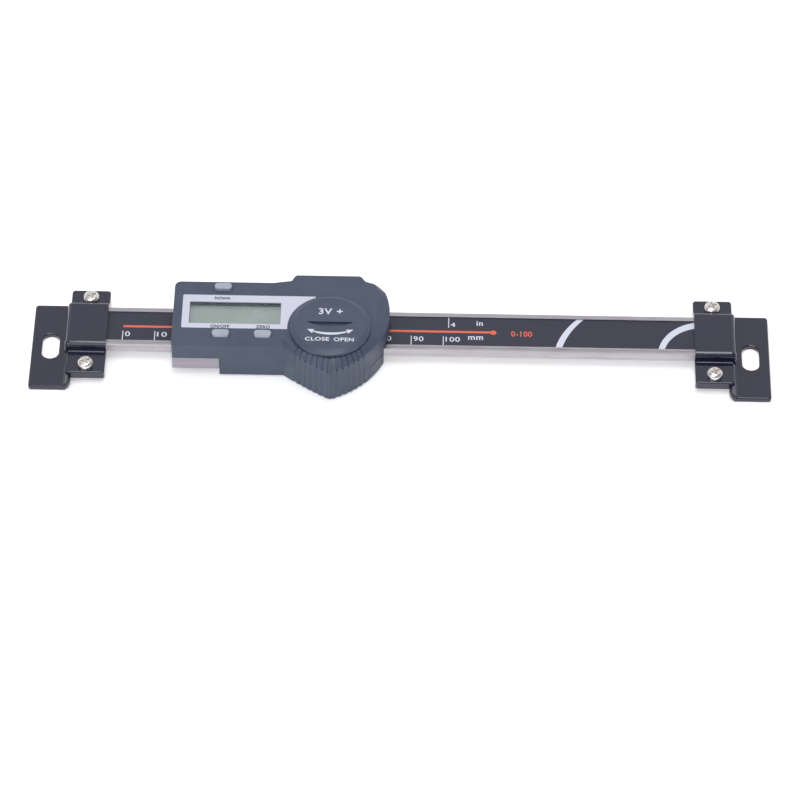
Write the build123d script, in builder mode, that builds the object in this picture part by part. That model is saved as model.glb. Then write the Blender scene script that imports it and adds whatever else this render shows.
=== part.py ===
from build123d import *
import os
from math import atan2, degrees

# Horizontal digital scale: a grooved steel rail held by two clamped end brackets,
# with a sliding readout head. Millimetres, +X along the rail, +Y to the rear, +Z up.
# Origin: on the mounting plane, midway between the two bracket slots.

os.makedirs("parts", exist_ok=True)

# ---------------------------------------------------------------- driving dimensions
SHEET = 1.5  # bracket sheet thickness
RAIL_Z = 2 * SHEET  # underside of the rail above the mounting plane
RAIL_W = 16.0
RAIL_T = 3.5
RAIL_L = 205.0
RAIL_TOP = RAIL_Z + RAIL_T
RAIL_EDGE = 0.3
RIM_LAND = 1.1  # width of the ground land along each top edge
RIM_STEP = 0.12
GROOVE_W = 12.2
GROOVE_D = 1.0
STRIP_T = 0.6  # engraved circuit strip of the scale
LABEL_T = 0.1

# End brackets, as distances from the middle of the rail
CLAMP_IN = 91.6
CLAMP_OUT = 104.5
EAR_OUT = 103.8
JOG_IN = 102.7  # where the base plate starts to step down
JOG_OUT = 104.5
TAB_IN = 102.1
FLANGE_OUT = 115.2
FLANGE_FRONT = -21.8
FLANGE_REAR = 13.1
EAR_FRONT = -18.3
EAR_REAR = 17.0
SLOT_X = 109.3
SLOT_Y = -4.5
SLOT_W = 5.3
SLOT_L = 10.3
CLAMP_HALF_W = 9.35
CLAMP_TOP = RAIL_TOP + 1.2
BEND = 1.7
EDGE_R = 0.45  # rounded upper edges of the sheet
FOLD_R = 0.5  # hollow fold between a cover and its ears
CLAMP_SCREW_X = 97.6
CLAMP_SCREW_REAR = 13.1
CLAMP_SCREW_FRONT = -15.0
SCREW_R = 1.25  # M2.5
SCREW_HEAD_R = 2.5
SCREW_HEAD_H = 2.0

# Readout head, placed at its rest position on the rail
HEAD_LEFT = -70.8
HEAD_FRONT = -14.4
HEAD_REAR = 11.8
HEAD_TOP = 14.9
HEAD_BOTTOM = 0.5
SEAT_Z = 7.5  # where the housing sits on the steel slider
WALL = 1.4
ROOF = 1.6
SKIRT_LEFT = -56.1
FAN_LEFT = -36.2
FAN_TIP = (-21.6, -24.4)
HEAD_RIGHT_FRONT = (-4.6, -6.8)
HEAD_RIGHT_REAR = (-5.0, 9.6)
FRONT_CHAMFER = 1.8
TOP_ROUND = 0.5
RIB_R = 0.9
RIB_DEPTH = 0.22
GROOVE_WIDTH = 0.4
GROOVE_DEPTH = 0.35

# Steel slider
SLIDER_BOTTOM = 2.5
SLIDER_RIGHT = -6.0
SLIDER_REAR = 11.5
SLIDER_FACE = -13.9
SLIDER_FACE_BEHIND_SKIRT = -12.9
GUIDE = 0.05  # running clearance on the rail
GIB_T = 1.2
GIB_SPACE = 0.35
MOUNT_HOLE_R = 1.03  # M2.5 tapped
MOUNT_X = (-63.0, -15.0)
MOUNT_Y = (-11.25, 9.75)

# Battery compartment
CAP_X = -21.8
CAP_Y = -7.5
CAP_R = 12.6
CAP_TOP = 16.8
CELL_R = 10.0
CELL_T = 3.2
TRAY_R = 11.4
TRAY_FLOOR = 10.0

# Display and keys
WINDOW_X = -51.5
WINDOW_Y = -1.75
WINDOW_L = 28.4
WINDOW_W = 9.3
BEZEL_LEFT = -68.0
BEZEL_LENGTH = 41.4
BEZEL_FRONT = -8.4
BEZEL_REAR = 5.85
BEZEL_ARC = (-21.27, -7.46)  # centre of the hollow at its right end
BEZEL_ARC_R = 13.78
KEY_L = 5.4
KEY_W = 2.6
KEY_R = 1.15
KEY_RISE = 1.2
KEY_GAP = 0.15
KEYS = {"in_mm": (-55.6, 8.95), "on_off": (-55.6, -11.0), "zero": (-42.6, -11.0)}
KEY_FLANGE_Z = 12.3
PCB_Z = SEAT_Z
PCB_T = 0.8
PCB_TOP = PCB_Z + PCB_T

# Data port in the right front of the skirt
PORT_X = -7.5
PORT_Y = -12.5
PORT_ANGLE = -31.0
PORT_W = 7.6
PORT_TOP = 5.8
PORT_GAP = 0.3  # over the cover
PORT_BOTTOM = HEAD_BOTTOM


# ---------------------------------------------------------------- the rail
with BuildPart() as beam:
    with BuildSketch(Plane.YZ) as beam_section:
        with Locations((0, RAIL_Z + RAIL_T / 2)):
            Rectangle(RAIL_W, RAIL_T)
        chamfer(beam_section.vertices(), RAIL_EDGE)
        with Locations((0, RAIL_TOP)):
            Rectangle(GROOVE_W, 2 * GROOVE_D, mode=Mode.SUBTRACT)
        for edge in (-1, 1):
            with Locations((edge * RAIL_W / 2, RAIL_TOP)):
                Rectangle(2 * RIM_LAND, 2 * RIM_STEP, mode=Mode.SUBTRACT)
    extrude(amount=RAIL_L / 2, both=True)
beam.part.label = "beam"
export_step(beam.part, "parts/beam.step")

STRIP_Z = RAIL_TOP - GROOVE_D
with BuildPart() as scale_grid_strip:
    with BuildSketch(Plane.XY.offset(STRIP_Z)):
        Rectangle(RAIL_L - 1, GROOVE_W - 0.2)
    extrude(amount=STRIP_T)
scale_grid_strip.part.label = "scale_grid_strip"
export_step(scale_grid_strip.part, "parts/scale_grid_strip.step")

LABEL_Z = STRIP_Z + STRIP_T
with BuildPart() as scale_label:
    with BuildSketch(Plane.XY.offset(LABEL_Z)):
        Rectangle(RAIL_L - 1, GROOVE_W - 0.1)
    extrude(amount=LABEL_T)
scale_label.part.label = "scale_label"
export_step(scale_label.part, "parts/scale_label.step")


# ---------------------------------------------------------------- the end brackets
def from_middle(sign, points):
    """Turns (distance from the middle of the rail, y or z) pairs into sketch points."""
    return [(sign * distance, value) for distance, value in points]


clamp_screw_spots = ((CLAMP_SCREW_X, CLAMP_SCREW_REAR), (CLAMP_SCREW_X, CLAMP_SCREW_FRONT))

for side, sign in (("left", -1), ("right", 1)):
    # Base plate: slotted flange on the mounting plane, stepped up by one sheet under the rail.
    with BuildPart() as mount_plate:
        with BuildSketch(Plane.XZ) as plate_profile:
            Polygon(
                *from_middle(
                    sign,
                    [
                        (CLAMP_IN, SHEET),
                        (JOG_IN - 0.4, SHEET),
                        (JOG_OUT - 0.6, 0),
                        (FLANGE_OUT, 0),
                        (FLANGE_OUT, SHEET),
                        (JOG_OUT, SHEET),
                        (JOG_IN + 0.2, RAIL_Z),
                        (CLAMP_IN, RAIL_Z),
                    ],
                ),
                align=None,
            )
            bends = plate_profile.vertices().filter_by(lambda v: JOG_IN - 2 < abs(v.X) < JOG_OUT + 1)
            fillet(bends, 0.55)
        extrude(amount=30, both=True)
        with BuildSketch(Plane.XY) as plate_plan:
            Polygon(
                *from_middle(
                    sign,
                    [
                        (CLAMP_IN, EAR_REAR - 0.3),
                        (EAR_OUT, EAR_REAR - 0.3),
                        (EAR_OUT, FLANGE_REAR),
                        (FLANGE_OUT, FLANGE_REAR),
                        (FLANGE_OUT, FLANGE_FRONT),
                        (TAB_IN, FLANGE_FRONT),
                        (TAB_IN, EAR_FRONT + 0.3),
                        (CLAMP_IN, EAR_FRONT + 0.3),
                    ],
                ),
                align=None,
            )
            corners = plate_plan.vertices()
            tab_corner = corners.filter_by(lambda v: abs(abs(v.X) - TAB_IN) < 0.1 and v.Y < EAR_FRONT)
            fillet(tab_corner, 1.8)
            fillet(plate_plan.vertices().filter_by(lambda v: abs(v.X) > FLANGE_OUT - 0.1), 1.0)
            fillet(plate_plan.vertices().filter_by(lambda v: abs(v.X) < CLAMP_IN + 0.1), 1.0)
            with Locations((sign * SLOT_X, SLOT_Y)):
                SlotOverall(SLOT_L, SLOT_W, rotation=90, mode=Mode.SUBTRACT)
        extrude(amount=RAIL_Z, mode=Mode.INTERSECT)
        level_faces = mount_plate.faces().filter_by(Axis.Z)
        flange_top = level_faces.filter_by(lambda f: abs(f.center().X) > JOG_OUT).sort_by(Axis.Z)[-1]
        fillet(flange_top.edges().filter_by(lambda e: abs(e.center().X) > JOG_OUT + 0.5), EDGE_R)
        with Locations(*[(sign * x, y, RAIL_Z) for x, y in clamp_screw_spots]):
            Hole(SCREW_R + 0.02, depth=RAIL_Z)
    mount_plate.part.label = f"{side}_mount_plate"
    export_step(mount_plate.part, f"parts/{side}_mount_plate.step")

    # Clamp cover: a drawn cap over the end of the rail with an ear at the front and rear.
    with BuildPart() as ears:
        with BuildSketch(Plane.XY.offset(RAIL_Z)) as ear_plan:
            Polygon(
                *from_middle(
                    sign,
                    [
                        (CLAMP_IN, EAR_REAR),
                        (EAR_OUT, EAR_REAR),
                        (EAR_OUT, EAR_FRONT),
                        (CLAMP_IN, EAR_FRONT),
                    ],
                ),
                align=None,
            )
            fillet(ear_plan.vertices(), 1.0)
        extrude(amount=SHEET)
        fillet(ears.edges().group_by(Axis.Z)[-1], EDGE_R)

    with BuildPart() as clamp_cover:
        with BuildSketch(Plane.XY.offset(RAIL_Z)) as cap_plan:
            Polygon(
                *from_middle(
                    sign,
                    [
                        (CLAMP_IN, CLAMP_HALF_W),
                        (CLAMP_OUT, CLAMP_HALF_W),
                        (CLAMP_OUT, -CLAMP_HALF_W),
                        (CLAMP_IN, -CLAMP_HALF_W),
                    ],
                ),
                align=None,
            )
            fillet(cap_plan.vertices().filter_by(lambda v: abs(v.X) > CLAMP_OUT - 0.1), 0.9)
        extrude(amount=CLAMP_TOP - RAIL_Z)
        crown = clamp_cover.faces().sort_by(Axis.Z)[-1].edges()
        fillet(crown.filter_by(lambda e: abs(e.center().X) > CLAMP_IN + 0.1), BEND)
        add(ears.part)
        with BuildSketch(Plane.YZ.offset(sign * (CLAMP_IN + EDGE_R))):
            for end in (-1, 1):
                with Locations((end * (CLAMP_HALF_W + FOLD_R / 2), RAIL_Z + SHEET + FOLD_R / 2)):
                    Rectangle(FOLD_R, FOLD_R)
                with Locations((end * (CLAMP_HALF_W + FOLD_R), RAIL_Z + SHEET + FOLD_R)):
                    Circle(FOLD_R, mode=Mode.SUBTRACT)
        extrude(amount=sign * (EAR_OUT - CLAMP_IN - 2 * EDGE_R))
        with BuildSketch(Plane.XY.offset(RAIL_Z)):
            Polygon(
                *from_middle(
                    sign,
                    [
                        (CLAMP_IN - 1, RAIL_W / 2 + GUIDE),
                        (CLAMP_OUT - SHEET, RAIL_W / 2 + GUIDE),
                        (CLAMP_OUT - SHEET, -RAIL_W / 2 - GUIDE),
                        (CLAMP_IN - 1, -RAIL_W / 2 - GUIDE),
                    ],
                ),
                align=None,
            )
        extrude(amount=RAIL_T, mode=Mode.SUBTRACT)
        with Locations(*[(sign * x, y, RAIL_Z + SHEET) for x, y in clamp_screw_spots]):
            Hole(SCREW_R + 0.1, depth=SHEET)
    clamp_cover.part.label = f"{side}_clamp_cover"
    export_step(clamp_cover.part, f"parts/{side}_clamp_cover.step")

    # Two pan-head cross-recess screws per bracket.
    with BuildPart() as clamp_screws:
        head_z = RAIL_Z + SHEET
        for x, y in clamp_screw_spots:
            with Locations((sign * x, y, 0.6)):
                Cylinder(SCREW_R, head_z - 0.6, align=(Align.CENTER, Align.CENTER, Align.MIN))
            with Locations((sign * x, y, head_z)):
                Cylinder(SCREW_HEAD_R, SCREW_HEAD_H, align=(Align.CENTER, Align.CENTER, Align.MIN))
        fillet(clamp_screws.edges().group_by(Axis.Z)[-1], 1.2)
        for x, y in clamp_screw_spots:
            with BuildSketch(Plane.XY.offset(head_z + SCREW_HEAD_H - 1.0)):
                with Locations(Location((sign * x, y, 0), (0, 0, 25))):
                    Rectangle(3.0, 0.75)
                    Rectangle(0.75, 3.0)
            extrude(amount=1.0, mode=Mode.SUBTRACT)
    clamp_screws.part.label = f"{side}_clamp_screws"
    export_step(clamp_screws.part, f"parts/{side}_clamp_screws.step")


# ---------------------------------------------------------------- the head's outline
def right_part(front, right_mid, right_rear, corner):
    """The outline to the right of FAN_LEFT. front is the fan's start, middle, tip, middle, end."""
    with BuildSketch() as region:
        with BuildLine():
            ThreePointArc(*front[:3])
            ThreePointArc(*front[2:])
            ThreePointArc(front[4], right_mid, right_rear)
            Polyline(right_rear, corner, *REAR_POINTS, (FAN_LEFT, REAR_AT_FAN), front[0])
        make_face()
        fillet(region.vertices().filter_by(lambda v: v.Y > 15), 1.3)
        fillet(region.vertices().sort_by_distance(corner)[0], 1.2)
    return region.sketch


REAR_POINTS = ((-11.2, 13.0), (-12.8, 15.3), (-33.2, 15.3), (-34.5, 12.8))
REAR_AT_FAN = 12.5
FAN_FRONT = ((FAN_LEFT, HEAD_FRONT), (-28.9, -19.9), FAN_TIP, (-10.6, -16.9), HEAD_RIGHT_FRONT)

fan_outline = right_part(FAN_FRONT, (-3.5, 1.6), HEAD_RIGHT_REAR, (-7.0, 12.2))

with BuildSketch() as head_outline:
    add(fan_outline)
    with BuildLine():
        Polyline(
            (FAN_LEFT, HEAD_FRONT),
            (FAN_LEFT, REAR_AT_FAN),
            (-40.2, HEAD_REAR),
            (HEAD_LEFT, HEAD_REAR),
            (HEAD_LEFT, HEAD_FRONT),
            close=True,
        )
    make_face()
    fillet(head_outline.vertices().sort_by_distance((HEAD_LEFT, HEAD_REAR))[0], 2.0)


def inset_outline(distance):
    """The head's outline moved inwards."""
    with BuildSketch() as inset:
        add(head_outline.sketch)
        offset(amount=-distance, kind=Kind.INTERSECTION)
    return inset.sketch


fan_walls = (
    ThreePointArc(*FAN_FRONT[:3], mode=Mode.PRIVATE),
    ThreePointArc(*FAN_FRONT[2:], mode=Mode.PRIVATE),
)
LEFT_RIBS = [0.262 + 0.118 * step for step in range(7)]
RIGHT_RIBS = [0.022 + 0.08 * step for step in range(7)]


def rib_spots():
    """Points on each side of the fan where a flute is cut, with the outward direction."""
    spots = []
    for wall, fractions in zip(fan_walls, (LEFT_RIBS, RIGHT_RIBS)):
        for fraction in fractions:
            along = wall % fraction
            spots.append((wall @ fraction, Vector(along.Y, -along.X)))
    return spots


port_place = Location((PORT_X, PORT_Y, 0), (0, 0, PORT_ANGLE))
HOUSING_SCREWS = ((-67.4, -11.5), (-67.4, 9.8), (-8.6, 9.8))
COVER_SCREWS = ((-29.3, -15.6), (-13.8, -15.6))


# ---------------------------------------------------------------- upper housing
# Above SLOPE_Z the fan and the right end slope in towards the battery cap.
SLOPE_Z = HEAD_TOP - FRONT_CHAMFER
SLOPE_FRONT = (
    (FAN_LEFT, HEAD_FRONT + FRONT_CHAMFER),
    (-29.3, -17.9),
    (-21.7, -20.4),
    (-13.0, -17.0),
    (-8.6, -8.2),
)

with BuildPart() as sloped_top:
    with BuildSketch(Plane.XY.offset(SLOPE_Z)):
        add(fan_outline)
    with BuildSketch(Plane.XY.offset(HEAD_TOP)):
        add(right_part(SLOPE_FRONT, (-7.3, 1.6), (-7.6, 9.2), (-8.4, 11.8)))
    loft(ruled=True)

# Grooves between the ribs on the slope: radial to the battery cap, all to one depth
with BuildPart() as rib_grooves:
    for spot, _ in rib_spots():
        bearing = degrees(atan2(spot.Y - CAP_Y, spot.X - CAP_X))
        with BuildSketch(Plane.XY.offset(SLOPE_Z - 1)):
            with Locations(Location((CAP_X, CAP_Y, 0), (0, 0, bearing))):
                Rectangle(20, GROOVE_WIDTH, align=(Align.MIN, Align.CENTER))
            with Locations((CAP_X, CAP_Y)):
                Circle(CAP_R - 0.4, mode=Mode.SUBTRACT)
        extrude(amount=FRONT_CHAMFER + 2)
    with Locations((0, 0, -GROOVE_DEPTH)):
        add(sloped_top.part, mode=Mode.SUBTRACT)

with BuildPart() as upper_housing:
    with BuildSketch(Plane.XY.offset(HEAD_BOTTOM)):
        add(head_outline.sketch)
    extrude(amount=SLOPE_Z - HEAD_BOTTOM)
    with BuildSketch(Plane.XY.offset(SLOPE_Z)):
        add(head_outline.sketch)
        with Locations((FAN_LEFT, -40)):
            Rectangle(60, 80, align=(Align.MIN, Align.MIN), mode=Mode.SUBTRACT)
    extrude(amount=FRONT_CHAMFER)
    top_edges = upper_housing.faces().sort_by(Axis.Z)[-1].edges()
    chamfer(
        top_edges.filter_by(lambda e: e.center().Y < HEAD_FRONT + 0.1).sort_by(Axis.X)[-1],
        FRONT_CHAMFER - 0.01,
    )
    add(sloped_top.part)
    top_edges = upper_housing.faces().sort_by(Axis.Z)[-1].edges()
    fillet(
        top_edges.filter_by(lambda e: e.center().Y > HEAD_REAR - 0.7 or e.center().X < HEAD_LEFT + 0.7),
        TOP_ROUND,
    )
    upright_edges = upper_housing.edges().filter_by(Axis.Z)
    fillet(upright_edges.sort_by_distance((HEAD_LEFT, HEAD_FRONT, SEAT_Z))[0], 0.8)
    for spot, outward in rib_spots():
        centre = spot + outward * (RIB_R - RIB_DEPTH)
        with Locations((centre.X, centre.Y, HEAD_BOTTOM)):
            Cylinder(
                RIB_R, 20, align=(Align.CENTER, Align.CENTER, Align.MIN), mode=Mode.SUBTRACT
            )
    add(rib_grooves.part, mode=Mode.SUBTRACT)
    # Hollow inside, open at the bottom
    with BuildSketch(Plane.XY.offset(HEAD_BOTTOM)):
        add(inset_outline(WALL))
    extrude(amount=HEAD_TOP - ROOF - HEAD_BOTTOM, mode=Mode.SUBTRACT)
    # Only the front skirt reaches below the seat on the slider
    with BuildSketch(Plane.XY.offset(HEAD_BOTTOM)):
        with Locations((SKIRT_LEFT, -30)):
            Rectangle(40, 60, align=(Align.MAX, Align.MIN))
        with Locations((SKIRT_LEFT, SLIDER_FACE_BEHIND_SKIRT - 0.05)):
            Rectangle(-11.5 - SKIRT_LEFT, 40, align=(Align.MIN, Align.MIN))
        with Locations((-12.0, -RAIL_W / 2 - 0.3)):
            Rectangle(12, 40, align=(Align.MIN, Align.MIN))
    extrude(amount=SEAT_Z - HEAD_BOTTOM, mode=Mode.SUBTRACT)
    # Battery tray with a bayonet track
    with Locations((CAP_X, CAP_Y, TRAY_FLOOR - 0.6)):
        Cylinder(
            TRAY_R + 1.0,
            HEAD_TOP - TRAY_FLOOR + 0.6 - 1.0,
            align=(Align.CENTER, Align.CENTER, Align.MIN),
        )
    with Locations((CAP_X, CAP_Y, TRAY_FLOOR)):
        Cylinder(TRAY_R, 8, align=(Align.CENTER, Align.CENTER, Align.MIN), mode=Mode.SUBTRACT)
    with Locations((CAP_X, CAP_Y, 12.6)):
        Cylinder(
            TRAY_R + 0.75, 0.7, align=(Align.CENTER, Align.CENTER, Align.MIN), mode=Mode.SUBTRACT
        )
    # Screw bosses
    for x, y in HOUSING_SCREWS:
        with Locations((x, y, SEAT_Z)):
            Cylinder(1.9, HEAD_TOP - SEAT_Z - 1.0, align=(Align.CENTER, Align.CENTER, Align.MIN))
    for x, y in COVER_SCREWS:
        with Locations((x, y, 1.8)):
            Cylinder(1.7, 8.0, align=(Align.CENTER, Align.CENTER, Align.MIN))
    for x, y in HOUSING_SCREWS:
        with Locations((x, y, SEAT_Z)):
            Cylinder(
                0.87, 4.6, align=(Align.CENTER, Align.CENTER, Align.MIN), mode=Mode.SUBTRACT
            )
    for x, y in COVER_SCREWS:
        with Locations((x, y, 1.8)):
            Cylinder(
                0.87, 4.0, align=(Align.CENTER, Align.CENTER, Align.MIN), mode=Mode.SUBTRACT
            )
    # Display window and key openings
    with BuildSketch(Plane.XY.offset(KEY_FLANGE_Z - 0.7)):
        with Locations(*KEYS.values()):
            Rectangle(KEY_L + 1.7, KEY_W + 2 * KEY_GAP)
    extrude(amount=HEAD_TOP - ROOF - KEY_FLANGE_Z + 0.7, mode=Mode.SUBTRACT)
    with BuildSketch(Plane.XY.offset(HEAD_TOP - ROOF - 1)):
        with Locations((WINDOW_X, WINDOW_Y)):
            RectangleRounded(WINDOW_L, WINDOW_W, 0.3)
        with Locations(*KEYS.values()):
            RectangleRounded(KEY_L + 2 * KEY_GAP, KEY_W + 2 * KEY_GAP, KEY_R + KEY_GAP)
    extrude(amount=ROOF + 2, mode=Mode.SUBTRACT)
    # Recess for the bezel plate
    with BuildSketch(Plane.XY.offset(HEAD_TOP - 0.25)) as bezel_outline:
        with Locations((BEZEL_LEFT, BEZEL_FRONT)):
            Rectangle(BEZEL_LENGTH, BEZEL_REAR - BEZEL_FRONT, align=(Align.MIN, Align.MIN))
        with Locations(BEZEL_ARC):
            Circle(BEZEL_ARC_R, mode=Mode.SUBTRACT)
        fillet(bezel_outline.vertices().sort_by(Axis.X)[:2], 0.5)
    extrude(amount=1, mode=Mode.SUBTRACT)
    # Slot for the seal along the left, rear and left front walls
    with BuildSketch(Plane.XY.offset(SEAT_Z)) as seal_path:
        add(inset_outline(0.35))
        add(inset_outline(WALL - 0.25), mode=Mode.SUBTRACT)
        with Locations((SLIDER_RIGHT - 0.8, -30)):
            Rectangle(20, 60, align=(Align.MIN, Align.MIN), mode=Mode.SUBTRACT)
        with Locations((CAP_X, -30)):
            Rectangle(20, 30, align=(Align.MIN, Align.MIN), mode=Mode.SUBTRACT)
        with Locations((SKIRT_LEFT - 0.5, -40)):
            Rectangle(60, 40 + SLIDER_FACE_BEHIND_SKIRT, align=(Align.MIN, Align.MIN), mode=Mode.SUBTRACT)
    extrude(amount=0.5, mode=Mode.SUBTRACT)
    # Battery opening and the two bayonet entry notches
    with BuildSketch(Plane.XY.offset(HEAD_TOP - ROOF - 0.3)):
        with Locations((CAP_X, CAP_Y)):
            Circle(TRAY_R)
        for turn in (45, 225):
            with Locations(Location((CAP_X, CAP_Y, 0), (0, 0, turn))):
                Rectangle(TRAY_R + 2, 5.2, align=(Align.MIN, Align.CENTER))
        with Locations((CAP_X, CAP_Y)):
            Circle(TRAY_R + 0.7, mode=Mode.INTERSECT)
    extrude(amount=ROOF + 1, mode=Mode.SUBTRACT)
    # Data port opening
    with BuildSketch(Plane.XY.offset(PORT_BOTTOM)) as port_opening:
        with Locations(port_place):
            Rectangle(8, PORT_W)
    extrude(amount=PORT_TOP - PORT_BOTTOM, mode=Mode.SUBTRACT)
upper_housing.part.label = "upper_housing"
export_step(upper_housing.part, "parts/upper_housing.step")

with BuildPart() as housing_seal:
    with BuildSketch(Plane.XY.offset(SEAT_Z)):
        add(inset_outline(0.37))
        add(inset_outline(WALL - 0.27), mode=Mode.SUBTRACT)
        with Locations((SLIDER_RIGHT - 0.85, -30)):
            Rectangle(20, 60, align=(Align.MIN, Align.MIN), mode=Mode.SUBTRACT)
        with Locations((CAP_X, -30)):
            Rectangle(20, 30, align=(Align.MIN, Align.MIN), mode=Mode.SUBTRACT)
        with Locations((SKIRT_LEFT - 0.55, -40)):
            Rectangle(60, 40 + SLIDER_FACE_BEHIND_SKIRT, align=(Align.MIN, Align.MIN), mode=Mode.SUBTRACT)
    extrude(amount=0.45)
housing_seal.part.label = "housing_seal"
export_step(housing_seal.part, "parts/housing_seal.step")

with BuildPart() as bezel_plate:
    with BuildSketch(Plane.XY.offset(HEAD_TOP - 0.25)) as bezel_shape:
        with Locations((BEZEL_LEFT + 0.05, BEZEL_FRONT + 0.05)):
            Rectangle(BEZEL_LENGTH - 0.1, BEZEL_REAR - BEZEL_FRONT - 0.1, align=(Align.MIN, Align.MIN))
        with Locations(BEZEL_ARC):
            Circle(BEZEL_ARC_R + 0.05, mode=Mode.SUBTRACT)
        fillet(bezel_shape.vertices().sort_by(Axis.X)[:2], 0.5)
        with Locations((WINDOW_X, WINDOW_Y)):
            RectangleRounded(WINDOW_L, WINDOW_W, 0.3, mode=Mode.SUBTRACT)
    extrude(amount=0.3)
bezel_plate.part.label = "bezel_plate"
export_step(bezel_plate.part, "parts/bezel_plate.step")

with BuildPart() as window_lens:
    with BuildSketch(Plane.XY.offset(HEAD_TOP - ROOF)):
        with Locations((WINDOW_X, WINDOW_Y)):
            RectangleRounded(WINDOW_L - 0.06, WINDOW_W - 0.06, 0.27)
    extrude(amount=1.0)
window_lens.part.label = "window_lens"
export_step(window_lens.part, "parts/window_lens.step")

# ---------------------------------------------------------------- display
LCD_L = 30.4
LCD_W = 11.4
LCD_T = 1.6
LCD_Z = HEAD_TOP - ROOF - 0.25 - LCD_T
with BuildPart() as lcd_glass:
    with BuildSketch(Plane.XY.offset(LCD_Z)):
        with Locations((WINDOW_X, WINDOW_Y)):
            Rectangle(LCD_L, LCD_W)
    extrude(amount=LCD_T)
lcd_glass.part.label = "lcd_glass"
export_step(lcd_glass.part, "parts/lcd_glass.step")

with BuildPart() as lcd_frame:
    with BuildSketch(Plane.XY.offset(PCB_TOP)):
        with Locations((WINDOW_X, WINDOW_Y)):
            Rectangle(LCD_L + 2.4, LCD_W + 2.0)
            Rectangle(LCD_L + 0.1, LCD_W + 0.1, mode=Mode.SUBTRACT)
    extrude(amount=LCD_Z + LCD_T - PCB_TOP)
    with BuildSketch(Plane.XY.offset(PCB_TOP)):
        with Locations((WINDOW_X, WINDOW_Y)):
            Rectangle(LCD_L + 0.1, LCD_W - 4.0)
            Rectangle(LCD_L - 3.0, LCD_W - 6.0, mode=Mode.SUBTRACT)
    extrude(amount=LCD_Z - PCB_TOP)
lcd_frame.part.label = "lcd_frame"
export_step(lcd_frame.part, "parts/lcd_frame.step")

with BuildPart() as zebra_connectors:
    with BuildSketch(Plane.XY.offset(PCB_TOP)):
        for side in (-1, 1):
            with Locations((WINDOW_X, WINDOW_Y + side * (LCD_W / 2 - 0.95))):
                Rectangle(LCD_L - 2, 1.7)
    extrude(amount=LCD_Z - PCB_TOP)
zebra_connectors.part.label = "zebra_connectors"
export_step(zebra_connectors.part, "parts/zebra_connectors.step")

# ---------------------------------------------------------------- steel slider
CHANNEL_TOP = RAIL_TOP + 0.1
with BuildPart() as slider_frame:
    with BuildSketch(Plane.XY.offset(SLIDER_BOTTOM)):
        with Locations((HEAD_LEFT, SLIDER_FACE)):
            Rectangle(
                SKIRT_LEFT - 0.1 - HEAD_LEFT, SLIDER_REAR - SLIDER_FACE, align=(Align.MIN, Align.MIN)
            )
        with Locations((HEAD_LEFT, SLIDER_FACE_BEHIND_SKIRT)):
            Rectangle(
                -12.2 - HEAD_LEFT, SLIDER_REAR - SLIDER_FACE_BEHIND_SKIRT, align=(Align.MIN, Align.MIN)
            )
        with Locations((HEAD_LEFT, -RAIL_W / 2)):
            Rectangle(
                SLIDER_RIGHT - HEAD_LEFT, SLIDER_REAR + RAIL_W / 2, align=(Align.MIN, Align.MIN)
            )
    extrude(amount=SEAT_Z - SLIDER_BOTTOM)
    # Ledge under the thumb rest at the rear
    with BuildSketch(Plane.XY.offset(SEAT_Z - 2.0)):
        with Locations((-33.4, SLIDER_REAR - 1)):
            Rectangle(20.6, 4.6, align=(Align.MIN, Align.MIN))
    extrude(amount=2.0)
    # Channel for the rail, with room for the gib at the front
    with BuildSketch(Plane.XY.offset(SLIDER_BOTTOM)):
        with Locations((HEAD_LEFT - 1, -RAIL_W / 2 - GUIDE - GIB_T - GIB_SPACE)):
            Rectangle(70, RAIL_W + 2 * GUIDE + GIB_T + GIB_SPACE, align=(Align.MIN, Align.MIN))
    extrude(amount=CHANNEL_TOP - SLIDER_BOTTOM, mode=Mode.SUBTRACT)
    # Window for the sensor board
    with BuildSketch(Plane.XY.offset(CHANNEL_TOP - 0.1)):
        with Locations((-38.0, 0)):
            Rectangle(48.0, 12.0)
    extrude(amount=2, mode=Mode.SUBTRACT)
    # Tapped mounting holes in the underside
    for x in MOUNT_X:
        for y in MOUNT_Y:
            with Locations((x, y, SLIDER_BOTTOM)):
                Cylinder(
                    MOUNT_HOLE_R, 3.5, align=(Align.CENTER, Align.CENTER, Align.MIN), mode=Mode.SUBTRACT
                )
    # Holes for the back plate's screws
    for x in (-54.0, -22.0):
        for y in MOUNT_Y:
            with Locations((x, y, SLIDER_BOTTOM)):
                Cylinder(
                    1.02, 3.0, align=(Align.CENTER, Align.CENTER, Align.MIN), mode=Mode.SUBTRACT
                )
    # Counterbored holes for the housing's screws
    for x, y in HOUSING_SCREWS:
        with Locations((x, y, SLIDER_BOTTOM)):
            Cylinder(0.95, 6, align=(Align.CENTER, Align.CENTER, Align.MIN), mode=Mode.SUBTRACT)
            Cylinder(1.4, 1.2, align=(Align.CENTER, Align.CENTER, Align.MIN), mode=Mode.SUBTRACT)
    # Gib screw holes through the front rail
    with BuildSketch(Plane.XZ.offset(8.5)):
        for x in (-46.0, -29.0):
            with Locations((x, RAIL_Z + RAIL_T / 2)):
                Circle(1.02)
    extrude(amount=6, mode=Mode.SUBTRACT)
slider_frame.part.label = "slider_frame"
export_step(slider_frame.part, "parts/slider_frame.step")

with BuildPart() as gib_strip:
    with BuildSketch(Plane.XY.offset(RAIL_Z + 0.1)):
        with Locations((HEAD_LEFT + 1.4, -RAIL_W / 2 - GUIDE)):
            Rectangle(56.0, GIB_T, align=(Align.MIN, Align.MAX))
    extrude(amount=RAIL_T - 0.3)
gib_strip.part.label = "gib_strip"
export_step(gib_strip.part, "parts/gib_strip.step")

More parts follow.
